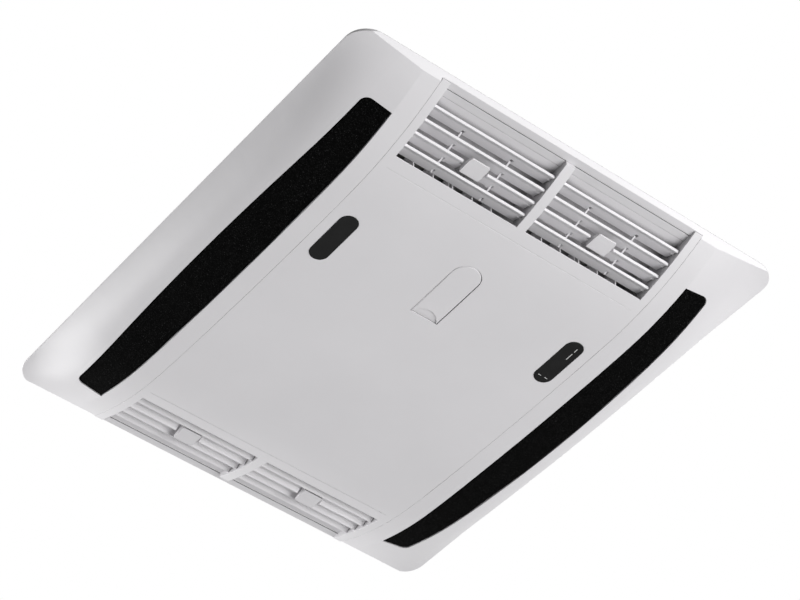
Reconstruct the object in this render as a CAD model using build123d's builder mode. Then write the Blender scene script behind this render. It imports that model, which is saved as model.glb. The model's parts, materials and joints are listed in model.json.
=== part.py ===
"""Ceiling panel of a rooftop air conditioner, seen from the room as the lowest part of the unit.

The origin is in the middle of the face that meets the ceiling. The room is below, at -Z.
X runs along the louvre slats and Y along the two filters. All sizes are in millimetres.
"""

from build123d import *
import math
import os

os.makedirs("parts", exist_ok=True)

# Panel outline and the curve of its face
panel_width = 490.0
panel_length = 571.0
panel_corner_radius = 24.0
crown_depth = 44.3
crown_radius = 3200.0
shoulder_from_end = 138.5
end_depth = 3.8
end_lip = 0.5
rim_height = 1.8
flank_bulge = 3.9
wall = 2.5
wall_share_at_filters = 0.4
wall_share_at_sides = 1.2
rim_left_inside = 0.25
seam_gap = 0.2

# Filters and the openings they fill
filter_inner_x = 172.0
filter_outer_x = 212.3
filter_bow = 10.7
filter_length = 469.2
filter_corner_radius = 9.0
filter_depth_share = 0.795
filter_recess = 0.6
filter_thickness = 10.0
filter_clearance = 0.4
collar_wall = 2.0
grille_pitch = 37.5
grille_bars = 13
grille_bar = 2.0

# Fixing bosses for the four screws into the roof unit
boss_spacing_x = 372.0
boss_spacing_y = 300.0
boss_radius = 6.5
screw_hole_radius = 2.75
screw_head_radius = 4.75
screw_head_depth = 3.5
rib_thickness = 2.5

# Centre cover and the four vents
divider_width = 10.0
divider_corner = 4.0
vent_width = 138.2
vent_length = 78.8
vent_lip = 4.2
vent_edge = 0.8
vent_bevel = 2.2
band_width = 11.5
band_depth = 5.0
band_end_depth = 4.0
skin_end_share = 1.2
groove_width = 0.9
groove_depth = 1.4
side_strip = 8.8
vent_wall = 2.5
scoop_width = 28.3
scoop_flat = 21.3
scoop_line_inset = 9.2
scoop_line_width = 0.5
scoop_line_depth = 0.4
roof_gap = 0.4
roof_thickness = 1.3
roof_length = 4.5
skirt_top = 24.0
skirt_wall = 2.2
crease_from_vent = 13.8
crease_width = 0.6
crease_depth = 0.2

# Louvre slats
slat_count = 4
slat_first = 13.2
slat_pitch = 14.25
slat_chord = 17.6
slat_angle = 17.8
slat_recess = 3.2
slat_plate = 1.3
slat_edge = 1.1
slat_lip = 2.8
slat_end_gap = 0.7
pivot_radius = 1.2
pivot_reach = 2.2
running_fit = 0.05

# Link bars between the slats
link_offset_x = 27.8
link_width = 1.7
link_height = 2.6
link_pin_radius = 0.6
link_pin_u = 7.8
link_slot_width = 3.2
link_slot_end = 2.2
link_fit = 0.15

# Thumb slider on the second slat
knob_width = 21.3
knob_stroke = 2.8
knob_side_gap = 0.3
knob_fit = 0.3
knob_notch_depth = 7.85
knob_hook = 1.25
knob_jaw = 1.25
knob_tab_inner = 6.8
knob_tab_reach = 8.5
knob_tab_edge = 1.4
knob_corner = 2.5
knob_slat = 1
knob_web = 1.9
fork_reach = 20.8
fork_prong = 1.5
fork_height = 1.8
fork_gap = 0.35
slider_recess = 1.0
slider_recess_width = 46.0

# Upright vanes behind the slats
vane_count = 5
vane_pitch = 22.3
vane_axis_inset = 16.5
vane_front = 10.3
vane_back = 7.5
vane_thickness = 1.2
vane_gap = 0.6
post_radius = 0.9
post_reach = 9.7
vane_notch_depth = 6.1
vane_notch_top = 4.2
vane_notch_bottom = 19.0
tie_offset = 5.7
tie_width = 3.0
tie_thickness = 1.2
tie_gap = 0.6
tie_pin_radius = 0.9
tie_fit = 0.15
pin_end_gap = 0.2

# Air duct above the cover
duct_floor = 28.5
duct_sheet = 1.2
duct_half_width = 105.0
duct_side_sheet = 1.5
duct_waist_y = 150.0
duct_flare_y = 168.0
duct_end_gap = 4.9
collar_length_x = 220.0
collar_length_y = 150.0
collar_rise = 24.0
collar_sheet = 2.0
gasket_height = 10.0
gasket_width = 7.0
post_x = 90.0
post_y = 100.0
tray_post_radius = 4.0

# Service flap
flap_width = 30.4
flap_length = 77.6
flap_centre_x = -5.6
flap_straight_y = -65.7
flap_thickness = 1.8
flap_gap = 0.5
flap_tip_chamfer = 0.9
flap_pin_radius = 1.1
flap_pin_inset = 12.0
flap_pin_depth = 2.0
flap_pocket_wall = 1.5
flap_pocket_roof = 0.8
flap_pocket_side = 0.6
flap_knuckle_radius = 1.8
flap_knuckle_length = 24.0
finger_scoop_width = 28.0
finger_scoop_length = 10.3
finger_scoop_depth = 1.1

# Oval badge plate and control window
pill_length = 63.5
pill_width = 19.8
pill_x = 131.5
badge_y = -94.5
window_y = -97.5
pill_recess = 1.2
pill_proud = 0.3
pill_seat_gap = 0.05
pill_gap = 0.25
window_ledge = 2.2

# Control board
board_length = 78.0
board_width = 22.0
board_thickness = 1.6
board_lift = 4.0
board_post_radius = 2.5
board_post_spacing = 70.0
light_radius = 1.5
light_spacing = 7.6
light_offset_y = 23.5
receiver_offset_y = -15.5
receiver_size = 5.0
light_gap = 0.4
socket_length = 12.0
socket_width = 6.5
socket_height = 5.0
socket_wall = 2.0

# Places that follow from the sizes above
half_width = panel_width / 2
half_length = panel_length / 2
shoulder_y = half_length - shoulder_from_end
shoulder_slope = math.asin(shoulder_y / crown_radius)
shoulder_z = crown_radius - crown_depth - crown_radius * math.cos(shoulder_slope)
end_rise = -end_depth - shoulder_z
end_lean = end_rise * math.cos(shoulder_slope) - shoulder_from_end * math.sin(shoulder_slope)
end_radius = (shoulder_from_end**2 + end_rise**2) / (2 * end_lean)
deep = crown_depth + 20.0
collar_height = filter_recess + filter_thickness + filter_clearance + grille_bar

cover_half_width = divider_width / 2 + vent_width + side_strip
frame_half_opening = cover_half_width + seam_gap
vent_outer_x = divider_width / 2 + vent_width
vent_centre_x = (divider_width + vent_width) / 2
vent_outer_y = half_length - vent_lip
vent_inner_y = vent_outer_y - vent_length
cover_end_y = half_length - band_width - seam_gap
roof_top = -roof_gap
roof_bottom = roof_top - roof_thickness
roof_start_y = vent_inner_y - roof_length
scoop_line_y = cover_end_y - scoop_line_inset
vent_bevel_y = vent_inner_y - vent_bevel
duct_end_y = vent_inner_y - duct_end_gap
vane_axis_y = vent_inner_y - vane_axis_inset
vane_top = roof_bottom - vane_gap
tray_floor_top = -duct_floor + duct_sheet
tie_bottom = tray_floor_top + tie_gap
tie_top = tie_bottom + tie_thickness
vane_bottom = tie_top + vane_gap
slat_half_length = vent_width / 2 - slat_end_gap
slat_cos = math.cos(math.radians(slat_angle))
slat_sin = math.sin(math.radians(slat_angle))
half_chord = slat_chord / 2
notch_width = knob_width + 2 * (knob_stroke + knob_side_gap)
knob_notch_u = half_chord - knob_notch_depth
fork_half_gap = post_radius + fork_gap

vents = {
    "front_left": (-1, -1),
    "front_right": (1, -1),
    "rear_left": (-1, 1),
    "rear_right": (1, 1),
}


def face_depth(y):
    """Depth of the room face below the ceiling, at a distance y from the middle."""
    distance = abs(y)
    if distance <= shoulder_y:
        return crown_depth - crown_radius + math.sqrt(crown_radius**2 - distance**2)
    arc_centre_y = shoulder_y - end_radius * math.sin(shoulder_slope)
    arc_centre_z = shoulder_z + end_radius * math.cos(shoulder_slope)
    return math.sqrt(end_radius**2 - (distance - arc_centre_y) ** 2) - arc_centre_z


def filter_edge_x(y):
    """Half width of the face at the outer edge of the filters, which bow outwards."""
    return filter_outer_x - filter_bow * (2 * y / filter_length) ** 2


def section_points(y, inset):
    """Corners of one half of a cross section, from the middle of the face to the rim."""
    depth = face_depth(y) - inset
    rim = max(rim_height - inset, rim_height * rim_left_inside)
    edge_depth = rim + (depth - rim) * filter_depth_share
    edge_x = filter_edge_x(y) - wall_share_at_filters * inset
    side_x = half_width - wall_share_at_sides * inset
    share = (depth - rim) / (crown_depth - rim_height)
    middle = ((edge_x + side_x) / 2 + flank_bulge * share, -(edge_depth + rim) / 2 - flank_bulge * share)
    return (filter_inner_x, -depth), (edge_x, -edge_depth), middle, (side_x, -rim), (side_x, 0)


def filter_section_depth(x, y):
    """Depth of the face at a place on the slanted band that the filters fill."""
    depth = face_depth(y)
    edge_depth = rim_height + (depth - rim_height) * filter_depth_share
    return depth - (depth - edge_depth) * (x - filter_inner_x) / (filter_edge_x(y) - filter_inner_x)


def mirrored(point):
    """The same point of a section on the other side of the middle."""
    return -point[0], point[1]


def face_stations(last_y, steps):
    """Places along Y where the cross section is drawn, closer together on the curved ends."""
    curved = [shoulder_y + (last_y - shoulder_y) * k / steps for k in range(1, steps + 1)]
    one_side = [shoulder_y / 2, shoulder_y] + curved
    return [-y for y in reversed(one_side)] + [0.0] + one_side


def slat_pivot(index):
    """Place (y, z) of a slat's pivot, in the middle of its chord. Index 0 is the innermost."""
    edge_y = vent_inner_y + slat_first + index * slat_pitch
    edge_z = -face_depth(edge_y) + slat_recess
    return edge_y - half_chord * slat_cos, edge_z + half_chord * slat_sin


def slat_plane(centre_x, side_y, index):
    """Plane across a slat: its x runs outwards along the chord and its y away from the room."""
    pivot_y, pivot_z = slat_pivot(index)
    return Plane(
        origin=(centre_x, side_y * pivot_y, pivot_z),
        x_dir=(0, side_y * slat_cos, -slat_sin),
        z_dir=(side_y, 0, 0),
    )


def link_pin(index):
    """Place (y, z) of the pin that joins a slat to its link bars."""
    pivot_y, pivot_z = slat_pivot(index)
    return pivot_y - link_pin_u * slat_cos, pivot_z + link_pin_u * slat_sin


def draw_crown(last_y, lift):
    """Closed outline (y, z) between the ceiling and the face of the flat middle, raised by lift."""

    def on_face(y):
        return y, lift - face_depth(y)

    curve_y = (shoulder_y + last_y) / 2
    ThreePointArc(on_face(-shoulder_y), on_face(0), on_face(shoulder_y))
    for side in (-1, 1):
        ThreePointArc(on_face(side * shoulder_y), on_face(side * curve_y), on_face(side * last_y))
    Polyline(on_face(last_y), (last_y, 0), (-last_y, 0), on_face(-last_y))


def draw_flap(margin):
    """Plan of the service flap, grown by a margin: straight at one end and round at the other."""
    round_y = flap_straight_y - flap_length + flap_width / 2
    straight_length = flap_straight_y + margin - round_y
    with Locations((flap_centre_x, round_y + straight_length / 2)):
        Rectangle(flap_width + 2 * margin, straight_length)
    with Locations((flap_centre_x, round_y)):
        Circle(flap_width / 2 + margin)


def draw_duct(inset, overrun):
    """Plan of the duct: a narrow waist that flares to the full width of the vents at both ends."""
    waist = duct_half_width - inset
    flare = vent_outer_x + duct_side_sheet - inset
    end = duct_end_y + overrun
    right = [(flare, -end), (flare, -duct_flare_y), (waist, -duct_waist_y)]
    right += [(x, -y) for x, y in reversed(right)]
    left = [(-x, y) for x, y in reversed(right)]
    Polygon(*right, *left, align=None)


def export(builder, name):
    """Label a finished piece and write it to its own file."""
    builder.part.label = name
    export_step(builder.part, f"parts/{name}.step")


# Heights that follow from the depth of the face
boss_edge_depth = filter_section_depth(boss_spacing_x / 2 + boss_radius, boss_spacing_y / 2 + boss_radius)
boss_height = boss_edge_depth - filter_recess - filter_thickness - filter_clearance
board_bottom = wall + board_lift - face_depth(window_y)
receiver_end_y = window_y + receiver_offset_y - receiver_size / 2
light_length = board_bottom + face_depth(receiver_end_y) - pill_recess - light_gap
flap_axis_y = flap_straight_y - flap_length + flap_pin_inset
flap_axis_z = flap_pin_depth - face_depth(flap_axis_y)
pocket_top = -duct_floor - flap_pocket_roof - seam_gap / 2
pocket_width = flap_width + 2 * flap_pocket_side
pocket_length = flap_length + 2 * flap_gap + 2 * flap_pocket_side
finger_radius = (finger_scoop_width**2 / 4 + finger_scoop_length**2) / (2 * finger_scoop_length)

# Solid space under the face, from which the frame, cover, filters and flap are cut
with BuildPart() as face_block:
    for station in face_stations(half_length, 6):
        with BuildSketch(Plane.XZ.offset(-station)):
            with BuildLine():
                inner, edge, middle, rim, top = section_points(station, 0.0)
                Polyline(mirrored(edge), mirrored(inner), inner, edge)
                ThreePointArc(edge, middle, rim)
                Polyline(rim, top, mirrored(top), mirrored(rim))
                ThreePointArc(mirrored(rim), mirrored(middle), mirrored(edge))
            make_face()
    loft()

# Hollow inside the frame, one wall in from the face
with BuildPart() as hollow_block:
    for station in face_stations(half_length - skin_end_share * band_width, 4):
        with BuildSketch(Plane.XZ.offset(-station)):
            with BuildLine():
                inner, edge, middle, rim, top = section_points(station, wall)
                Polyline(mirrored(edge), mirrored(inner), inner, edge)
                ThreePointArc(edge, middle, rim)
                Polyline(rim, top, mirrored(top), mirrored(rim))
                ThreePointArc(mirrored(rim), mirrored(middle), mirrored(edge))
            make_face()
    loft()

# Space above the flat middle of the face, which the cover and all that it holds follow
with BuildPart() as crown_block:
    with BuildSketch(Plane.YZ):
        with BuildLine():
            draw_crown(half_length, 0.0)
        make_face()
    extrude(amount=half_width, both=True)

face_solid = face_block.part
crown_solid = crown_block.part
cover_inside = crown_solid.moved(Location((0, 0, wall)))

# Shape of a filter opening in plan, on the +X side
with BuildSketch() as filter_window:
    end_y = filter_length / 2
    with BuildLine():
        ThreePointArc((filter_edge_x(end_y), -end_y), (filter_outer_x, 0), (filter_edge_x(end_y), end_y))
        Polyline(
            (filter_edge_x(end_y), end_y),
            (filter_inner_x, end_y),
            (filter_inner_x, -end_y),
            (filter_edge_x(end_y), -end_y),
        )
    make_face()
    fillet(filter_window.vertices().group_by(Axis.X)[-1], filter_corner_radius)


def filter_section(y, low, high):
    """Slanted strip that follows the face across a filter, between two heights above it."""
    overlap = 2 * collar_wall
    depth = face_depth(y)
    edge_depth = rim_height + (depth - rim_height) * filter_depth_share
    slope = (depth - edge_depth) / (filter_edge_x(y) - filter_inner_x)
    inner_x = filter_inner_x - overlap
    outer_x = filter_edge_x(y) + overlap
    inner_z = -depth - slope * overlap
    outer_z = -edge_depth + slope * overlap
    inner_corners = (inner_x, inner_z + low), (inner_x, inner_z + high)
    outer_corners = (outer_x, outer_z + low), (outer_x, outer_z + high)
    return inner_corners[0], outer_corners[0], outer_corners[1], inner_corners[1]


# Walls around the filter openings, from inside the shell up to the intake bars
with BuildPart() as filter_collars:
    for station in face_stations(filter_length / 2 + 2 * collar_wall, 2):
        with BuildSketch(Plane.XZ.offset(-station)):
            with BuildLine():
                Polyline(*filter_section(station, wall / 2, collar_height), close=True)
            make_face()
    loft(ruled=True)
    with BuildSketch():
        add(filter_window.sketch)
        offset(amount=collar_wall)
    extrude(amount=-deep, mode=Mode.INTERSECT)

# Intake bars across the top of the filter openings
with BuildPart() as grille:
    for station in face_stations(filter_length / 2 + 2 * collar_wall, 2):
        with BuildSketch(Plane.XZ.offset(-station)):
            with BuildLine():
                Polyline(*filter_section(station, collar_height - grille_bar, collar_height), close=True)
            make_face()
    loft(ruled=True)
    with BuildSketch():
        with Locations(((filter_inner_x + filter_outer_x) / 2, 0)):
            with GridLocations(0, grille_pitch, 1, grille_bars):
                Rectangle(panel_width / 4, grille_bar)
            Rectangle(grille_bar, filter_length)
    extrude(amount=-deep, mode=Mode.INTERSECT)
    with BuildSketch():
        add(filter_window.sketch)
        offset(amount=collar_wall / 2)
    extrude(amount=-deep, mode=Mode.INTERSECT)

# Outer frame
with BuildPart() as outer_frame:
    add(face_solid)
    add(hollow_block.part, mode=Mode.SUBTRACT)
    with BuildSketch():
        RectangleRounded(panel_width, panel_length, panel_corner_radius)
    extrude(amount=-deep, mode=Mode.INTERSECT)
    # Opening for the centre cover, with the flange band left at both ends
    with BuildSketch():
        Rectangle(2 * frame_half_opening, 2 * (half_length - band_width))
        for side_x in (-1, 1):
            with Locations((side_x * (frame_half_opening + vent_outer_x) / 2, 0)):
                Rectangle(frame_half_opening - vent_outer_x, 2 * vent_outer_y)
    extrude(amount=-deep, mode=Mode.SUBTRACT)
    # The band is lower than the face beside it
    with BuildSketch(Plane.YZ):
        for side_y in (-1, 1):
            with BuildLine():
                Polyline(
                    (side_y * (half_length - band_width - 1), -band_depth),
                    (side_y * (half_length - band_width), -band_depth),
                    (side_y * half_length, -band_end_depth),
                    (side_y * half_length, -deep),
                    (side_y * (half_length - band_width - 1), -deep),
                    close=True,
                )
            make_face()
    extrude(amount=vent_outer_x, both=True, mode=Mode.SUBTRACT)
    # Both ends lean inwards at 45 degrees below a thin lip
    with BuildSketch(Plane.YZ):
        for side_y in (-1, 1):
            with BuildLine():
                Polyline(
                    (side_y * half_length, -end_lip),
                    (side_y * (half_length - deep), -end_lip - deep),
                    (side_y * (half_length + deep), -end_lip - deep),
                    (side_y * (half_length + deep), -end_lip),
                    close=True,
                )
            make_face()
    extrude(amount=half_width, both=True, mode=Mode.SUBTRACT)
    # Upright walls between the return air and the supply duct
    for wall_start in (-frame_half_opening - wall, frame_half_opening):
        with BuildSketch(Plane.YZ.offset(wall_start)):
            with BuildLine():
                draw_crown(vent_outer_y, wall / 2)
            make_face()
        extrude(amount=wall)
    add(filter_collars.part)
    mirror(filter_collars.part, about=Plane.YZ)
    with BuildSketch():
        add(filter_window.sketch)
        mirror(about=Plane.YZ)
    extrude(amount=-deep, mode=Mode.SUBTRACT)
    add(grille.part)
    mirror(grille.part, about=Plane.YZ)
    # Bosses for the fixing screws, tied to the upright walls
    with BuildSketch():
        with GridLocations(boss_spacing_x, boss_spacing_y, 2, 2):
            Circle(boss_radius)
        for side_x in (-1, 1):
            rib_length = boss_spacing_x / 2 - frame_half_opening - wall / 2
            with Locations((side_x * (boss_spacing_x / 2 - rib_length / 2), 0)):
                with GridLocations(0, boss_spacing_y, 1, 2):
                    Rectangle(rib_length, rib_thickness)
    extrude(amount=-boss_height)
    # Flat lower ends of the bosses, with a recess for each screw head
    with BuildSketch(Plane.XY.offset(-boss_height)):
        with GridLocations(boss_spacing_x, boss_spacing_y, 2, 2):
            Circle(boss_radius)
    extrude(amount=-deep, mode=Mode.SUBTRACT)
    with BuildSketch(Plane.XY.offset(screw_head_depth - boss_height)):
        with GridLocations(boss_spacing_x, boss_spacing_y, 2, 2):
            Circle(screw_head_radius)
    extrude(amount=-deep, mode=Mode.SUBTRACT)
    with BuildSketch():
        with GridLocations(boss_spacing_x, boss_spacing_y, 2, 2):
            Circle(screw_hole_radius)
    extrude(amount=-deep, mode=Mode.SUBTRACT)
export(outer_frame, "outer_frame")

# Foam filters
with BuildPart() as right_filter:
    for station in face_stations(filter_length / 2, 4):
        with BuildSketch(Plane.XZ.offset(-station)):
            with BuildLine():
                low = filter_recess
                Polyline(*filter_section(station, low, low + filter_thickness), close=True)
            make_face()
    loft()
    with BuildSketch():
        add(filter_window.sketch)
        offset(amount=-filter_clearance)
    extrude(amount=-deep, mode=Mode.INTERSECT)
export(right_filter, "right_filter")

with BuildPart() as left_filter:
    mirror(right_filter.part, about=Plane.YZ)
export(left_filter, "left_filter")

# Walls of the vents in the cover: the divider and the two sides
with BuildPart() as vent_walls:
    with BuildSketch(Plane.XY.offset(roof_top)):
        for side_y in (-1, 1):
            divider_length = cover_end_y - roof_start_y
            with Locations((0, side_y * (roof_start_y + divider_length / 2))):
                Rectangle(divider_width, divider_length)
            wall_length = vent_outer_y - seam_gap - roof_start_y
            for side_x in (-1, 1):
                wall_x = side_x * (vent_outer_x + vent_wall / 2)
                with Locations((wall_x, side_y * (roof_start_y + wall_length / 2))):
                    Rectangle(vent_wall, wall_length)
    extrude(amount=-deep)
    add(crown_solid, mode=Mode.INTERSECT)
    divider_ends = vent_walls.edges().filter_by(Axis.X).group_by(SortBy.LENGTH)[-1]
    fillet(divider_ends.group_by(Axis.Y)[0].sort_by(Axis.Z)[0], divider_corner)
    divider_ends = vent_walls.edges().filter_by(Axis.X).group_by(SortBy.LENGTH)[-1]
    fillet(divider_ends.group_by(Axis.Y)[-1].sort_by(Axis.Z)[0], divider_corner)

# What stands on the inside of the cover: skirts, posts and the pocket of the flap
with BuildPart() as cover_fittings:
    with BuildSketch(Plane.XY.offset(-skirt_top)):
        with GridLocations(2 * cover_half_width - skirt_wall, 0, 2, 1):
            Rectangle(skirt_wall, 2 * roof_start_y)
    extrude(amount=-deep)
    with BuildSketch(Plane.XY.offset(-duct_floor)):
        with GridLocations(2 * post_x, 2 * post_y, 2, 2):
            Circle(tray_post_radius)
    extrude(amount=-deep)
    with BuildSketch(Plane.XY.offset(board_bottom)):
        with Locations((pill_x, window_y)):
            with GridLocations(0, board_post_spacing, 1, 2):
                Circle(board_post_radius)
    extrude(amount=-deep)
    with BuildSketch(Plane.XY.offset(pocket_top + flap_pocket_roof)):
        with Locations((flap_centre_x, flap_straight_y - flap_length / 2)):
            Rectangle(pocket_width + 2 * flap_pocket_wall, pocket_length + 2 * flap_pocket_wall)
    extrude(amount=-deep)
    with BuildSketch(Plane.XY.offset(pocket_top)):
        with Locations((flap_centre_x, flap_straight_y - flap_length / 2)):
            Rectangle(pocket_width, pocket_length)
    extrude(amount=-deep, mode=Mode.SUBTRACT)
    add(cover_inside.moved(Location((0, 0, -wall / 2))), mode=Mode.INTERSECT)

# Shallow cuts in the face: the seats of the two ovals, and a crease beside the vents
with BuildPart() as face_cuts:
    with BuildSketch():
        for side_x, pill_y in ((-1, badge_y), (1, window_y)):
            with Locations((side_x * pill_x, pill_y)):
                SlotOverall(pill_length, pill_width, rotation=90)
    extrude(amount=-deep)
    add(crown_solid.moved(Location((0, 0, pill_recess))), mode=Mode.SUBTRACT)
with BuildPart() as creases:
    with BuildSketch():
        with GridLocations(0, 2 * (vent_inner_y - crease_from_vent), 1, 2):
            Rectangle(2 * vent_outer_x, crease_width)
    extrude(amount=-deep)
    add(crown_solid.moved(Location((0, 0, crease_depth))), mode=Mode.SUBTRACT)

# Centre cover
with BuildPart() as centre_cover:
    with BuildSketch():
        Rectangle(2 * cover_half_width, 2 * cover_end_y)
        for side_x in (-1, 1):
            strip_x = side_x * (vent_outer_x + cover_half_width) / 2
            with Locations((strip_x, 0)):
                Rectangle(cover_half_width - vent_outer_x, 2 * (vent_outer_y - seam_gap))
    extrude(amount=-deep)
    add(crown_solid, mode=Mode.INTERSECT)
    add(cover_inside, mode=Mode.SUBTRACT)
    with BuildSketch():
        for side_x, side_y in vents.values():
            opening_length = cover_end_y - vent_inner_y
            with Locations((side_x * vent_centre_x, side_y * (vent_inner_y + opening_length / 2))):
                Rectangle(vent_width, opening_length)
        draw_flap(flap_gap)
        with Locations((pill_x, window_y)):
            SlotOverall(pill_length - 2 * window_ledge, pill_width - 2 * window_ledge, rotation=90)
    extrude(amount=-deep, mode=Mode.SUBTRACT)
    add(face_cuts.part, mode=Mode.SUBTRACT)
    add(creases.part, mode=Mode.SUBTRACT)
    # The wall thins towards the inner edge of each vent
    with BuildSketch(Plane.YZ):
        for side_y in (-1, 1):
            with BuildLine():
                bevel_top = wall - face_depth(vent_bevel_y)
                Polyline(
                    (side_y * vent_inner_y, vent_edge - face_depth(vent_inner_y)),
                    (side_y * vent_bevel_y, bevel_top),
                    (side_y * vent_bevel_y, bevel_top + wall),
                    (side_y * vent_inner_y, bevel_top + wall),
                    close=True,
                )
            make_face()
    extrude(amount=vent_outer_x, both=True, mode=Mode.SUBTRACT)
    add(cover_fittings.part)
    with BuildSketch(Plane.YZ.offset(flap_centre_x)):
        with Locations((flap_axis_y, flap_axis_z)):
            Circle(flap_pin_radius + running_fit)
    extrude(amount=pocket_width / 2 + flap_pocket_wall, both=True, mode=Mode.SUBTRACT)
    add(vent_walls.part)
    # Roof of the vents, which slopes down to a flat strip and a groove beside the flange band
    with BuildSketch(Plane.YZ):
        for side_y in (-1, 1):
            with BuildLine():
                Polyline(
                    (side_y * (cover_end_y - scoop_width), roof_bottom),
                    (side_y * roof_start_y, roof_bottom),
                    (side_y * roof_start_y, roof_top),
                    (side_y * cover_end_y, roof_top),
                    (side_y * cover_end_y, groove_depth - band_depth),
                    (side_y * (cover_end_y - groove_width), groove_depth - band_depth),
                    (side_y * (cover_end_y - groove_width), -band_depth),
                    (side_y * (cover_end_y - scoop_flat), -band_depth),
                    close=True,
                )
            make_face()
            with Locations((side_y * scoop_line_y, -band_depth)):
                Rectangle(scoop_line_width, 2 * scoop_line_depth, mode=Mode.SUBTRACT)
    extrude(amount=vent_outer_x + vent_wall, both=True)
    # Bearings of the slats
    for side_x, side_y in vents.values():
        with BuildSketch(Plane.YZ.offset(side_x * vent_centre_x)):
            for index in range(slat_count):
                pivot_y, pivot_z = slat_pivot(index)
                with Locations((side_y * pivot_y, pivot_z)):
                    Circle(pivot_radius + running_fit)
        extrude(amount=vent_width / 2 + vent_wall, both=True, mode=Mode.SUBTRACT)
export(centre_cover, "centre_cover")

# Supply tray, the lower half of the duct
with BuildPart() as supply_tray:
    with BuildSketch(Plane.XY.offset(-duct_floor)):
        draw_duct(0.0, 0.0)
    extrude(amount=duct_floor + roof_bottom)
    with BuildSketch(Plane.XY.offset(tray_floor_top)):
        draw_duct(duct_side_sheet, duct_end_gap)
    extrude(amount=duct_floor, mode=Mode.SUBTRACT)
    with BuildSketch(Plane.XY.offset(-duct_floor)):
        for side_x, side_y in vents.values():
            with Locations((side_x * vent_centre_x, side_y * vane_axis_y)):
                with GridLocations(vane_pitch, 0, vane_count, 1):
                    Circle(pivot_radius + running_fit)
    extrude(amount=duct_floor, mode=Mode.SUBTRACT)
export(supply_tray, "supply_tray")

# Supply lid, the upper half of the duct, with the collar that meets the roof unit
with BuildPart() as supply_lid:
    with BuildSketch(Plane.XY.offset(roof_bottom)):
        draw_duct(0.0, 0.0)
    extrude(amount=roof_thickness)
    with BuildSketch(Plane.XY.offset(roof_bottom)):
        Rectangle(collar_length_x, collar_length_y)
    extrude(amount=collar_rise - roof_bottom)
    with BuildSketch(Plane.XY.offset(roof_bottom)):
        Rectangle(collar_length_x - 2 * collar_sheet, collar_length_y - 2 * collar_sheet)
        for side_x, side_y in vents.values():
            with Locations((side_x * vent_centre_x, side_y * vane_axis_y)):
                with GridLocations(vane_pitch, 0, vane_count, 1):
                    Circle(pivot_radius + running_fit)
    extrude(amount=deep, mode=Mode.SUBTRACT)
export(supply_lid, "supply_lid")

# Foam gasket on the collar
with BuildPart() as duct_gasket:
    with BuildSketch(Plane.XY.offset(collar_rise)):
        Rectangle(collar_length_x, collar_length_y)
        Rectangle(
            collar_length_x - 2 * gasket_width,
            collar_length_y - 2 * gasket_width,
            mode=Mode.SUBTRACT,
        )
    extrude(amount=gasket_height)
export(duct_gasket, "duct_gasket")

# Blank badge plate and dark control window, flush in their seats
for oval_name, oval_x, oval_y in (("badge_plate", -pill_x, badge_y), ("control_window", pill_x, window_y)):
    with BuildPart() as oval:
        with BuildSketch(Plane.XY.offset(pill_proud)):
            with Locations((oval_x, oval_y)):
                SlotOverall(pill_length - 2 * pill_gap, pill_width - 2 * pill_gap, rotation=90)
        extrude(amount=-2 * deep)
        add(crown_solid.moved(Location((0, 0, -pill_proud))), mode=Mode.INTERSECT)
        add(crown_solid.moved(Location((0, 0, pill_recess - pill_seat_gap))), mode=Mode.SUBTRACT)
    export(oval, oval_name)

# Control board on its two posts, with the socket for the roof unit's lead
with BuildPart() as control_board:
    with BuildSketch(Plane.XY.offset(board_bottom)):
        with Locations((pill_x, window_y)):
            Rectangle(board_width, board_length)
    extrude(amount=board_thickness)
    with BuildSketch(Plane.XY.offset(board_bottom + board_thickness)):
        with Locations((pill_x, window_y)):
            Rectangle(socket_width, socket_length)
            Rectangle(socket_width - socket_wall, socket_length - socket_wall, mode=Mode.SUBTRACT)
    extrude(amount=socket_height)
export(control_board, "control_board")

# Two indicator lights and the receiver, hanging from the board to just behind the window
with BuildPart() as board_lights:
    with BuildSketch(Plane.XY.offset(board_bottom)):
        with Locations((pill_x, window_y + light_offset_y)):
            with GridLocations(light_spacing, 0, 2, 1):
                Circle(light_radius)
        with Locations((pill_x, window_y + receiver_offset_y)):
            Rectangle(receiver_size, receiver_size)
    extrude(amount=-light_length)
export(board_lights, "board_lights")

# Service flap with its knuckle, hinge pin and finger scoop
with BuildPart() as finger_cut:
    with BuildSketch():
        with Locations((flap_centre_x, flap_straight_y - finger_scoop_length + finger_radius)):
            Circle(finger_radius)
    extrude(amount=-deep)
    add(crown_solid.moved(Location((0, 0, finger_scoop_depth))), mode=Mode.SUBTRACT)
with BuildPart() as service_flap:
    with BuildSketch():
        draw_flap(0.0)
    extrude(amount=-deep)
    add(crown_solid, mode=Mode.INTERSECT)
    add(crown_solid.moved(Location((0, 0, flap_thickness))), mode=Mode.SUBTRACT)
    chamfer(service_flap.edges().group_by(Axis.Y)[0].sort_by(Axis.Z)[0], flap_tip_chamfer)
    add(finger_cut.part, mode=Mode.SUBTRACT)
    pin_half_length = pocket_width / 2 + flap_pocket_wall - running_fit
    knuckle = (flap_knuckle_radius, flap_knuckle_length / 2)
    pin = (flap_pin_radius, pin_half_length)
    for radius, half_span in (knuckle, pin):
        with BuildSketch(Plane.YZ.offset(flap_centre_x)):
            with Locations((flap_axis_y, flap_axis_z)):
                Circle(radius)
        extrude(amount=half_span, both=True)
export(service_flap, "service_flap")

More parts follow.
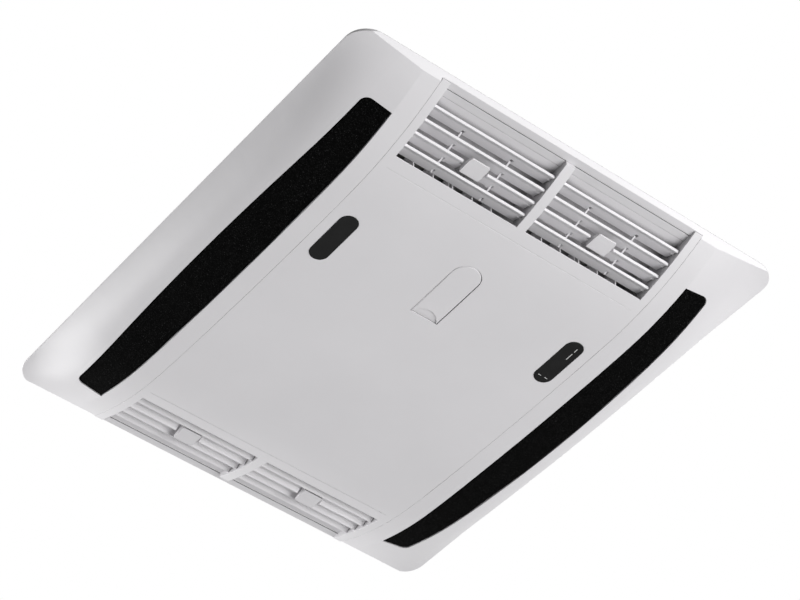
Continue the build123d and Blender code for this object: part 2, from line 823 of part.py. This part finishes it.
for vent_name, (side_x, side_y) in vents.items():
    centre_x = side_x * vent_centre_x

    # Louvre slats, with a lip at the room edge, a pivot stub at each end and pins for the links
    for index in range(slat_count):
        section = slat_plane(centre_x, side_y, index)
        with BuildPart() as slat:
            with BuildSketch(section) as profile:
                with BuildLine():
                    lip_bottom = slat_plate / 2 - slat_lip
                    Polyline(
                        (-half_chord, slat_edge / 2),
                        (half_chord, slat_plate / 2),
                        (half_chord, lip_bottom),
                        (half_chord - slat_edge, lip_bottom),
                        (half_chord - 2 * slat_lip, -slat_plate / 2),
                        (-half_chord, -slat_edge / 2),
                        close=True,
                    )
                make_face()
                fillet(profile.vertices().group_by(Axis.X)[-1], slat_edge / 2)
            extrude(amount=slat_half_length, both=True)
            for side in (-1, 1):
                bar_section = section.offset(side * link_offset_x)
                with BuildSketch(bar_section):
                    slot_length = half_chord - link_slot_end
                    with Locations((slot_length / 2 - half_chord, 0)):
                        Rectangle(slot_length, 2 * slat_lip)
                extrude(amount=link_slot_width / 2, both=True, mode=Mode.SUBTRACT)
                with BuildSketch(bar_section):
                    with Locations((-link_pin_u, 0)):
                        Circle(link_pin_radius)
                extrude(amount=link_slot_width / 2 + link_pin_radius, both=True)
                stub_length = vent_width / 2 + pivot_reach - slat_half_length
                with BuildSketch(section.offset(side * slat_half_length)):
                    Circle(pivot_radius)
                extrude(amount=stub_length, both=True)
            if index == knob_slat:
                with BuildSketch(section):
                    with Locations((knob_notch_u + half_chord, 0)):
                        Rectangle(2 * half_chord, 4 * slat_lip)
                extrude(amount=notch_width / 2, both=True, mode=Mode.SUBTRACT)
                with BuildSketch(section):
                    with Locations((-half_chord, 0)):
                        Rectangle(2 * slider_recess, 2 * slat_lip)
                extrude(amount=slider_recess_width / 2, both=True, mode=Mode.SUBTRACT)
        export(slat, f"{vent_name}_slat_{index + 1}")

    # Two link bars, from the innermost slat to the outermost
    with BuildPart() as slat_links:
        pins = [link_pin(index) for index in range(slat_count)]
        for side in (-1, 1):
            with BuildSketch(Plane.YZ.offset(centre_x + side * link_offset_x)):
                for (start_y, start_z), (stop_y, stop_z) in zip(pins, pins[1:]):
                    middle = (side_y * (start_y + stop_y) / 2, (start_z + stop_z) / 2)
                    SlotCenterPoint(middle, (side_y * stop_y, stop_z), link_height)
                with Locations(*[(side_y * pin_y, pin_z) for pin_y, pin_z in pins]):
                    Circle(link_pin_radius + link_fit, mode=Mode.SUBTRACT)
            extrude(amount=link_width / 2, both=True)
    export(slat_links, f"{vent_name}_slat_links")

    # Thumb slider: a clip that runs along the second slat, a tab, and a fork for the middle vane
    section = slat_plane(centre_x, side_y, knob_slat)
    with BuildPart() as slider:
        with BuildSketch(section):
            with BuildLine():
                jaw = slat_plate / 2 + knob_fit
                hook_u = slider_recess - half_chord - knob_fit
                web_u = knob_notch_u + knob_fit
                tab_u = half_chord + knob_tab_reach
                Polyline(
                    (hook_u - knob_hook, jaw + knob_jaw),
                    (hook_u + knob_hook, jaw + knob_jaw),
                    (hook_u + knob_hook, jaw),
                    (hook_u, jaw),
                    (hook_u, -jaw),
                    (web_u, -jaw),
                    (web_u, jaw),
                    (tab_u, jaw),
                    (tab_u, jaw - knob_tab_edge),
                    (web_u - knob_web, -knob_tab_inner),
                    (web_u - knob_web, -jaw - knob_jaw),
                    (hook_u - knob_hook, -jaw - knob_jaw),
                    close=True,
                )
            make_face()
        extrude(amount=knob_width / 2, both=True)
        across = Axis(section.origin, section.y_dir)
        outwards = Axis(section.origin, section.x_dir)
        fillet(slider.edges().filter_by(across).group_by(outwards)[-1], knob_corner)
        for side in (-1, 1):
            with BuildSketch(section.offset(side * (fork_half_gap + fork_prong / 2))):
                with Locations((hook_u - knob_hook / 2 - fork_reach / 2, 0)):
                    Rectangle(fork_reach + knob_hook, fork_height)
            extrude(amount=fork_prong / 2, both=True)
    export(slider, f"{vent_name}_slider")

    # Upright vanes on pivot pins between the tray and the lid
    for index in range(vane_count):
        vane_x = centre_x + (index - (vane_count - 1) / 2) * vane_pitch
        with BuildPart() as vane:
            with BuildSketch(Plane.XY.offset(vane_bottom)):
                with Locations((vane_x, side_y * (vane_axis_y + (vane_front - vane_back) / 2))):
                    Rectangle(vane_thickness, vane_front + vane_back)
            extrude(amount=vane_top - vane_bottom)
            if index == vane_count // 2:
                with BuildSketch(Plane.XY.offset(-vane_notch_bottom)):
                    with Locations((vane_x, side_y * (vane_axis_y + vane_front))):
                        Rectangle(vane_pitch / 2, 2 * vane_notch_depth)
                extrude(amount=vane_notch_bottom - vane_notch_top, mode=Mode.SUBTRACT)
                with BuildSketch(Plane.XY.offset(-vane_notch_bottom - post_radius)):
                    with Locations((vane_x, side_y * (vane_axis_y + post_reach))):
                        Circle(post_radius)
                extrude(amount=vane_notch_bottom - vane_notch_top + 2 * post_radius)
            with BuildSketch(Plane.XY.offset(pin_end_gap - duct_floor)):
                with Locations((vane_x, side_y * vane_axis_y)):
                    Circle(pivot_radius)
            extrude(amount=duct_floor + roof_top - 2 * pin_end_gap)
            with BuildSketch(Plane.XY.offset(tie_bottom - pin_end_gap)):
                with Locations((vane_x, side_y * (vane_axis_y - tie_offset))):
                    Circle(tie_pin_radius)
            extrude(amount=vane_bottom - tie_bottom + 2 * pin_end_gap)
        export(vane, f"{vent_name}_vane_{index + 1}")

    # Tie bar that joins the vanes
    with BuildPart() as vane_tie:
        with BuildSketch(Plane.XY.offset(tie_bottom)):
            with Locations((centre_x, side_y * (vane_axis_y - tie_offset))):
                SlotCenterToCenter((vane_count - 1) * vane_pitch, tie_width)
                with GridLocations(vane_pitch, 0, vane_count, 1):
                    Circle(tie_pin_radius + tie_fit, mode=Mode.SUBTRACT)
        extrude(amount=tie_thickness)
    export(vane_tie, f"{vent_name}_vane_tie")
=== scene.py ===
"""Looks of the ceiling panel of a rooftop air conditioner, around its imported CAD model.

Metres, in the CAD model's frame: the ceiling is at z = 0 and the room is below it.
"""

import json
import math

import bmesh
import bpy
from mathutils import Matrix, Quaternion, Vector, noise
from mathutils.bvhtree import BVHTree


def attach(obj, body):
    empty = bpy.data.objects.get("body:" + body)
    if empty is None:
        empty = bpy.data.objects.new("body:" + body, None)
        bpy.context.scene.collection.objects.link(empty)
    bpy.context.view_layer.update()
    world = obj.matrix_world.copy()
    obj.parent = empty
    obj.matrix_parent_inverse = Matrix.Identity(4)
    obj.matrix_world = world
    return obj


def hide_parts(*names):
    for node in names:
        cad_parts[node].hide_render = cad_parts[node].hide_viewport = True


MM = 0.001

# Camera, placed as in the photograph
CAMERA_PLACE = Vector((-1.1067, -1.5582, -1.8815))
CAMERA_AIM = Vector((-0.0112, -0.0345, 0.0))
CAMERA_ROLL = math.radians(-2.356)
CAMERA_LENS = 125.73
CAMERA_SENSOR = 36.0
CAMERA_REACH = 50.0

# Studio: a low soft light off each end of the panel, one above it and an even glow all round.
# A light's direction is its bearing and its height, in degrees; its power is in watts.
FLOOR_Z = -4.3
FLOOR_SIZE = 16.0
FLOOR_SQUARES = 8
LIGHT_DISTANCE = 3.0
LIGHT_SIZE = 2.6
KEY_DIRECTION = (303.0, -28.0)
KEY_POWER = 108.0
FILL_DIRECTION = (115.0, -5.0)
FILL_POWER = 131.0
TOP_DIRECTION = (60.0, 62.0)
TOP_POWER = 48.0
GLOW = 0.10

# Moulded plastics: darkest and lightest tone, roughness, radius of the softened edges
SHELL_LOOK = (0.70, 0.73, 0.36, 0.5 * MM)
SLAT_LOOK = (0.80, 0.83, 0.55, 0.3 * MM)
DUCT_LOOK = (0.30, 0.34, 0.55, 0.3 * MM)
PLASTIC_CAST = 0.016
ROUGHNESS_SPREAD = 0.05

# Scales of the noises and cells in the materials, per metre
TONE_SCALE = 9.0
FLOW_SCALE = 14.0
GRAIN_SCALE = 1700.0
FILTER_CELLS = 900.0
FILTER_GLINTS = 1300.0
GASKET_CELLS = 1400.0
GLOSS_TONE_SCALE = 60.0
GLOSS_SMEAR_SCALE = 220.0
GLOSS_FLOW_SCALE = 40.0
TRACK_SCALE = 180.0
LENS_SCALE = 500.0
INK_SCALE = 2500.0
FLOOR_TONE_SCALE = 0.7

# Relief of the foam pieces' meshes
FILTER_VOXEL = 1.3 * MM
FILTER_RELIEF = 0.22 * MM
GASKET_VOXEL = 1.6 * MM
GASKET_RELIEF = 0.1 * MM
FOAM_PORE = 1.6 * MM
SMOOTH_FACTOR = 0.5
SMOOTH_ROUNDS = 2

# Painted shade that darkens the colour in recesses: how far it looks, between which openness, and how
# dark it gets
RECESS_REACH = 30 * MM
RECESS_OPEN = (0.14, 0.44)
RECESS_SHADE = 0.32
RECESS_SAMPLES = 8

# Marks on the control window, in the panel's plan
TICK_X = (0.1276, 0.1352)
TICK_Y = -0.0740
TICK_SIZE = (3.4 * MM, 0.8 * MM)
BAR_X = 0.1345
BAR_Y = (-0.1195, -0.1097)
BAR_SIZE = (0.9 * MM, 4.8 * MM, 9.4 * MM)
MARK_LIFT = 0.04 * MM
MARK_ROUNDING = 0.35
MARK_CORNER_STEPS = 6
PROBE_Z = -1.0

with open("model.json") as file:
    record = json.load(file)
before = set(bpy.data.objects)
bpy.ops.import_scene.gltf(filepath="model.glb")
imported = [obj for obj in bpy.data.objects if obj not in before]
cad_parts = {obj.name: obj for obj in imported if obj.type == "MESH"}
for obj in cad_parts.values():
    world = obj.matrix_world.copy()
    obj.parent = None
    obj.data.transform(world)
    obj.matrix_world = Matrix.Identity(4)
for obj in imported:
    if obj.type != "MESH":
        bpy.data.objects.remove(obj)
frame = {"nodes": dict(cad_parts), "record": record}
nodes = frame["nodes"]
bodies = frame["record"]["behaviour"]["bodies"]
node_body = {node: body for body, members in bodies.items() for node in members}
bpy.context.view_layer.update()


class Shader:
    """A small help to write a node material: makes nodes and links them in one call."""

    def __init__(self, name):
        self.material = bpy.data.materials.new(name)
        self.material.use_nodes = True
        self.tree = self.material.node_tree
        self.tree.nodes.clear()
        self.output = self.add("ShaderNodeOutputMaterial")
        self.surface = self.add("ShaderNodeBsdfPrincipled")
        self.link(self.surface.outputs["BSDF"], self.output.inputs["Surface"])
        self.place = self.add("ShaderNodeTexCoord").outputs["Object"]

    def add(self, kind, **settings):
        node = self.tree.nodes.new(kind)
        for key, value in settings.items():
            setattr(node, key, value)
        return node

    def link(self, output, socket):
        self.tree.links.new(output, socket)

    def set(self, **values):
        """Set the surface's own sockets; an underscore stands for a space in a socket's name."""
        for key, value in values.items():
            self.surface.inputs[key.replace("_", " ")].default_value = value

    def feed(self, socket, output):
        """Link an output to one of the surface's own sockets."""
        self.link(output, self.surface.inputs[socket])

    def noise(self, scale, detail=3.0, roughness=0.5):
        texture = self.add("ShaderNodeTexNoise")
        texture.inputs["Scale"].default_value = scale
        texture.inputs["Detail"].default_value = detail
        texture.inputs["Roughness"].default_value = roughness
        self.link(self.place, texture.inputs["Vector"])
        return texture.outputs["Fac"]

    def cells(self, scale, feature="F1"):
        texture = self.add("ShaderNodeTexVoronoi", feature=feature)
        texture.inputs["Scale"].default_value = scale
        self.link(self.place, texture.inputs["Vector"])
        return texture.outputs["Distance"]

    def ramp(self, value, stops):
        """A colour that goes from the first stop to the second; a stop is a position and a colour."""
        ramp = self.add("ShaderNodeValToRGB")
        for point, (position, color) in zip(ramp.color_ramp.elements, stops):
            point.position = position
            point.color = (*color, 1.0)
        self.link(value, ramp.inputs["Fac"])
        return ramp.outputs["Color"]

    def spread(self, value, low, high):
        """A value from 0 to 1 stretched from low to high."""
        mapped = self.add("ShaderNodeMapRange")
        mapped.inputs["To Min"].default_value = low
        mapped.inputs["To Max"].default_value = high
        self.link(value, mapped.inputs["Value"])
        return mapped.outputs["Result"]

    def painted_recess_shade(self, color):
        """Painted shade: a colour that darkens deep in narrow recesses, as found by ambient occlusion.
        """
        recess = self.add("ShaderNodeAmbientOcclusion", samples=RECESS_SAMPLES)
        recess.inputs["Distance"].default_value = RECESS_REACH
        shade = self.add("ShaderNodeMapRange")
        shade.inputs["From Min"].default_value = RECESS_OPEN[0]
        shade.inputs["From Max"].default_value = RECESS_OPEN[1]
        shade.inputs["To Min"].default_value = RECESS_SHADE
        shade.inputs["To Max"].default_value = 1.0
        self.link(recess.outputs["AO"], shade.inputs["Value"])
        return self.blend(color, shade.outputs["Result"], "MULTIPLY")

    def blend(self, first, second, kind):
        """Two colours blended in full."""
        mix = self.add("ShaderNodeMix", data_type="RGBA", blend_type=kind)
        mix.inputs["Factor"].default_value = 1.0
        self.link(first, mix.inputs["A"])
        self.link(second, mix.inputs["B"])
        return mix.outputs["Result"]

    def bump(self, height, distance, strength=1.0, below=None):
        node = self.add("ShaderNodeBump")
        node.inputs["Strength"].default_value = strength
        node.inputs["Distance"].default_value = distance
        self.link(height, node.inputs["Height"])
        if below is not None:
            self.link(below, node.inputs["Normal"])
        return node.outputs["Normal"]

    def soft_edges(self, radius):
        node = self.add("ShaderNodeBevel", samples=6)
        node.inputs["Radius"].default_value = radius
        return node.outputs["Normal"]


def grey(value, cast=0.0):
    """A grey, with a faint violet cast where cast is above 0."""
    return value, value * (1 - cast), value * (1 + cast / 2)


def moulded_plastic(name, low, high, roughness, edge_radius, painted_recess_shade=True):
    """Spark-eroded moulded plastic: slow tone changes, a fine grain and softened edges."""
    shader = Shader(name)
    stops = ((0.3, grey(low, PLASTIC_CAST)), (0.7, grey(high, PLASTIC_CAST)))
    tone = shader.ramp(shader.noise(TONE_SCALE, 4.0), stops)
    # Painted shade: where the recess shade is on, the tone darkens in narrow recesses
    shader.feed("Base Color", shader.painted_recess_shade(tone) if painted_recess_shade else tone)
    grain = shader.noise(GRAIN_SCALE, 2.0)
    smoothest, roughest = roughness - ROUGHNESS_SPREAD, roughness + ROUGHNESS_SPREAD
    shader.feed("Roughness", shader.spread(grain, smoothest, roughest))
    flow = shader.bump(shader.noise(FLOW_SCALE, 2.0), 0.05 * MM, 0.3, shader.soft_edges(edge_radius))
    shader.feed("Normal", shader.bump(grain, 0.02 * MM, 0.35, flow))
    shader.set(IOR=1.5)
    return shader.material


def filter_foam(name):
    """Black open-cell foam: a net of thin struts round pores painted darker as shade, with fine pale
    specks painted in as glints.
    """
    shader = Shader(name)
    walls = shader.cells(FILTER_CELLS, "DISTANCE_TO_EDGE")
    # Painted shade: the pores between the struts are darker than the struts
    struts_and_pore_shade = shader.ramp(walls, ((0.02, grey(0.004)), (0.14, grey(0.0006))))
    # Painted highlights: sparse pale specks stand for glints on the struts
    painted_glints = shader.ramp(shader.noise(FILTER_GLINTS, 1.0), ((0.62, grey(0.0)), (0.78, grey(0.05))))
    shader.feed("Base Color", shader.blend(struts_and_pore_shade, painted_glints, "ADD"))
    shader.feed("Normal", shader.bump(shader.cells(FILTER_CELLS), 0.5 * MM, 0.9))
    shader.set(Roughness=0.9, IOR=1.3, Specular_IOR_Level=0.04)
    return shader.material


def gasket_foam(name):
    """Dark closed-cell foam with a fine skin."""
    shader = Shader(name)
    cells = shader.cells(GASKET_CELLS)
    shader.feed("Base Color", shader.ramp(cells, ((0.1, grey(0.022)), (0.7, grey(0.04)))))
    shader.feed("Normal", shader.bump(cells, 0.15 * MM, 0.6))
    shader.set(Roughness=0.9)
    return shader.material


def dark_gloss(name):
    """Near-black glossy plastic with faint moulding flow."""
    shader = Shader(name)
    tone = shader.noise(GLOSS_TONE_SCALE)
    shader.feed("Base Color", shader.ramp(tone, ((0.3, grey(0.006)), (0.7, grey(0.010)))))
    shader.feed("Roughness", shader.spread(shader.noise(GLOSS_SMEAR_SCALE), 0.10, 0.18))
    flow = shader.noise(GLOSS_FLOW_SCALE, 2.0)
    shader.feed("Normal", shader.bump(flow, 0.02 * MM, 0.4, shader.soft_edges(0.25 * MM)))
    return shader.material


def circuit_board(name):
    """Green solder mask over a faint grid of copper tracks."""
    shader = Shader(name)
    tracks = shader.add("ShaderNodeTexBrick", offset=0.5)
    tracks.inputs["Scale"].default_value = TRACK_SCALE
    tracks.inputs["Mortar Size"].default_value = 0.03
    tracks.inputs["Color1"].default_value = (0.012, 0.065, 0.030, 1)
    tracks.inputs["Color2"].default_value = (0.015, 0.075, 0.036, 1)
    tracks.inputs["Mortar"].default_value = (0.05, 0.16, 0.07, 1)
    shader.link(shader.place, tracks.inputs["Vector"])
    shader.feed("Base Color", tracks.outputs["Color"])
    shader.feed("Normal", shader.bump(tracks.outputs["Fac"], 0.04 * MM))
    shader.set(Roughness=0.35)
    return shader.material


def clear_lens(name):
    """Milky clear resin, as on a small indicator light."""
    shader = Shader(name)
    tone = shader.noise(LENS_SCALE)
    shader.feed("Base Color", shader.ramp(tone, ((0.3, grey(0.55)), (0.7, grey(0.66)))))
    shader.set(Roughness=0.2, Transmission_Weight=0.4, IOR=1.45)
    return shader.material


def print_ink(name):
    """Light grey printed ink, slightly uneven in tone."""
    shader = Shader(name)
    tone = shader.noise(INK_SCALE, 2.0)
    shader.feed("Base Color", shader.ramp(tone, ((0.35, grey(0.42)), (0.6, grey(0.62)))))
    shader.set(Roughness=0.5)
    return shader.material


def floor_paint(name):
    """Pale matt floor with slow changes of tone."""
    shader = Shader(name)
    tone = shader.noise(FLOOR_TONE_SCALE)
    shader.feed("Base Color", shader.ramp(tone, ((0.3, grey(0.78)), (0.7, grey(0.82)))))
    shader.set(Roughness=0.8)
    return shader.material


# The shell and duct plastics carry painted shade in their recesses; the slats do not
shell = moulded_plastic("shell_plastic", *SHELL_LOOK)
slats = moulded_plastic("slat_plastic", *SLAT_LOOK, painted_recess_shade=False)
duct = moulded_plastic("duct_plastic", *DUCT_LOOK)
filter_black = filter_foam("filter_foam")
gasket_black = gasket_foam("gasket_foam")
gloss = dark_gloss("dark_gloss")
board = circuit_board("board")
lens = clear_lens("lights")
ink = print_ink("ink")

SLOT_MATERIALS = {
    "shell_plastic": shell,
    "slat_plastic": slats,
    "duct_plastic": duct,
    "filter_foam": filter_black,
    "gasket_foam": gasket_black,
    "dark_gloss": gloss,
    "board": board,
    "lights": lens,
}

for entry in frame["record"]["subparts"]:
    mesh = nodes[entry["node"]].data
    mesh.materials.clear()
    sliding = entry["node"].endswith("_slider")
    mesh.materials.append(shell if sliding else SLOT_MATERIALS[entry["material_slot"]])


def new_piece(name, mesh, material, body):
    """Put a mesh in the scene as a piece that rides on a body."""
    piece = bpy.data.objects.new(name, mesh)
    bpy.context.scene.collection.objects.link(piece)
    mesh.materials.clear()
    mesh.materials.append(material)
    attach(piece, body)
    return piece


def applied_mesh(source, voxel):
    """The mesh of a CAD node remeshed to even small faces, so that it can carry relief."""
    copy = bpy.data.objects.new("remesh_work", source.data.copy())
    bpy.context.scene.collection.objects.link(copy)
    remesh = copy.modifiers.new("remesh", "REMESH")
    remesh.mode = "VOXEL"
    remesh.voxel_size = voxel
    remesh.use_smooth_shade = True
    smooth = copy.modifiers.new("smooth", "SMOOTH")
    smooth.factor = SMOOTH_FACTOR
    smooth.iterations = SMOOTH_ROUNDS
    bpy.context.view_layer.update()
    evaluated = copy.evaluated_get(bpy.context.evaluated_depsgraph_get())
    result = bpy.data.meshes.new_from_object(evaluated)
    bpy.data.objects.remove(copy)
    return result


def add_relief(mesh, pore, height):
    """Move each vertex inwards along its normal by a fine noise."""
    moved = []
    for vertex in mesh.vertices:
        value = noise.noise(vertex.co / pore) * 0.5 + 0.5
        moved.append(vertex.co - vertex.normal * (value * height))
    for vertex, place in zip(mesh.vertices, moved):
        vertex.co = place
    mesh.update()


def make_foam(node, material, voxel, height):
    """A foam piece in place of its plain CAD solid."""
    name = f"{node}_foam"
    mesh = applied_mesh(nodes[node], voxel)
    mesh.name = name
    add_relief(mesh, FOAM_PORE, height)
    foam = new_piece(name, mesh, material, node_body[node])
    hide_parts(node)


for side in ("left", "right"):
    make_foam(f"{side}_filter", filter_black, FILTER_VOXEL, FILTER_RELIEF)
make_foam("duct_gasket", gasket_black, GASKET_VOXEL, GASKET_RELIEF)


def surface_below(node):
    """A function that gives the height of a node's room face at a place in plan."""
    bvh = BVHTree.FromObject(nodes[node], bpy.context.evaluated_depsgraph_get())

    def height(x, y):
        return bvh.ray_cast(Vector((x, y, PROBE_Z)), Vector((0, 0, 1)))[0].z

    return height


def printed_mark(mesh, height, x, y, size_x, size_y):
    """A thin raised patch that follows the surface under it, with rounded corners."""
    corner = MARK_ROUNDING * min(size_x, size_y)
    outline = []
    for quarter in range(4):
        turn = quarter * math.pi / 2
        centre_x = x + (size_x / 2 - corner) * (1 if quarter in (0, 3) else -1)
        centre_y = y + (size_y / 2 - corner) * (1 if quarter in (0, 1) else -1)
        for step in range(MARK_CORNER_STEPS + 1):
            angle = turn + step / MARK_CORNER_STEPS * math.pi / 2
            outline.append((centre_x + corner * math.cos(angle), centre_y + corner * math.sin(angle)))
    low = [mesh.verts.new((px, py, height(px, py) - MARK_LIFT)) for px, py in outline]
    high = [mesh.verts.new((px, py, height(px, py) + MARK_LIFT)) for px, py in outline]
    mesh.faces.new(list(reversed(low)))
    mesh.faces.new(high)
    for k in range(len(low)):
        following = (k + 1) % len(low)
        mesh.faces.new((low[k], low[following], high[following], high[k]))


def make_window_marks():
    """Generic printed ticks and bars beside the lights, with no lettering."""
    height = surface_below("control_window")
    mesh = bmesh.new()
    for x in TICK_X:
        printed_mark(mesh, height, x, TICK_Y, *TICK_SIZE)
    width, short, long = BAR_SIZE
    printed_mark(mesh, height, BAR_X, BAR_Y[0], width, short)
    printed_mark(mesh, height, BAR_X, BAR_Y[1], width, long)
    bmesh.ops.recalc_face_normals(mesh, faces=mesh.faces)
    result = bpy.data.meshes.new("window_marks")
    mesh.to_mesh(result)
    mesh.free()
    new_piece("window_marks", result, ink, "panel")


make_window_marks()


def make_floor():
    """A wide pale floor, far below the ceiling panel and the camera."""
    mesh = bmesh.new()
    bmesh.ops.create_grid(
        mesh, x_segments=FLOOR_SQUARES, y_segments=FLOOR_SQUARES, size=FLOOR_SIZE / 2
    )
    data = bpy.data.meshes.new("floor")
    mesh.to_mesh(data)
    mesh.free()
    floor = bpy.data.objects.new("floor", data)
    floor.location = (0, 0, FLOOR_Z)
    data.materials.append(floor_paint("floor_paint"))
    bpy.context.scene.collection.objects.link(floor)


def area_light(name, direction, power):
    """A square soft light that points at the panel from a bearing and a height."""
    bearing, height = (math.radians(angle) for angle in direction)
    level = math.cos(height)
    away = Vector((level * math.cos(bearing), level * math.sin(bearing), math.sin(height)))
    light = bpy.data.lights.new(name, "AREA")
    light.shape = "SQUARE"
    light.size = LIGHT_SIZE
    light.energy = power
    lamp = bpy.data.objects.new(name, light)
    lamp.location = LIGHT_DISTANCE * away
    lamp.rotation_euler = (-away).to_track_quat("-Z", "Y").to_euler()
    bpy.context.scene.collection.objects.link(lamp)


def make_world():
    """An even faint glow; white for the camera and for what mirrors or refracts."""
    world = bpy.data.worlds.new("studio")
    bpy.context.scene.world = world
    world.use_nodes = True
    tree = world.node_tree
    tree.nodes.clear()
    output = tree.nodes.new("ShaderNodeOutputWorld")
    shades = []
    for strength in (GLOW, 1.0):
        shade = tree.nodes.new("ShaderNodeBackground")
        shade.inputs["Color"].default_value = (1, 1, 1, 1)
        shade.inputs["Strength"].default_value = strength
        shades.append(shade.outputs["Background"])
    rays = tree.nodes.new("ShaderNodeLightPath")
    seen = rays.outputs["Is Camera Ray"]
    for kind in ("Is Glossy Ray", "Is Transmission Ray"):
        either = tree.nodes.new("ShaderNodeMath")
        either.operation = "MAXIMUM"
        tree.links.new(seen, either.inputs[0])
        tree.links.new(rays.outputs[kind], either.inputs[1])
        seen = either.outputs[0]
    mix = tree.nodes.new("ShaderNodeMixShader")
    tree.links.new(seen, mix.inputs["Fac"])
    tree.links.new(shades[0], mix.inputs[1])
    tree.links.new(shades[1], mix.inputs[2])
    tree.links.new(mix.outputs["Shader"], output.inputs["Surface"])


def make_camera():
    """The photograph's camera."""
    data = bpy.data.cameras.new("camera")
    data.sensor_width = CAMERA_SENSOR
    data.lens = CAMERA_LENS
    data.clip_end = CAMERA_REACH
    camera = bpy.data.objects.new("camera", data)
    view = CAMERA_AIM - CAMERA_PLACE
    level = view.to_track_quat("-Z", "Y")
    roll = Quaternion(view.normalized(), CAMERA_ROLL)
    camera.matrix_world = Matrix.Translation(CAMERA_PLACE) @ (roll @ level).to_matrix().to_4x4()
    bpy.context.scene.collection.objects.link(camera)
    bpy.context.scene.camera = camera


make_floor()
make_world()
area_light("key", KEY_DIRECTION, KEY_POWER)
area_light("fill", FILL_DIRECTION, FILL_POWER)
area_light("top", TOP_DIRECTION, TOP_POWER)
make_camera()

bpy.context.scene.view_settings.view_transform = "Standard"
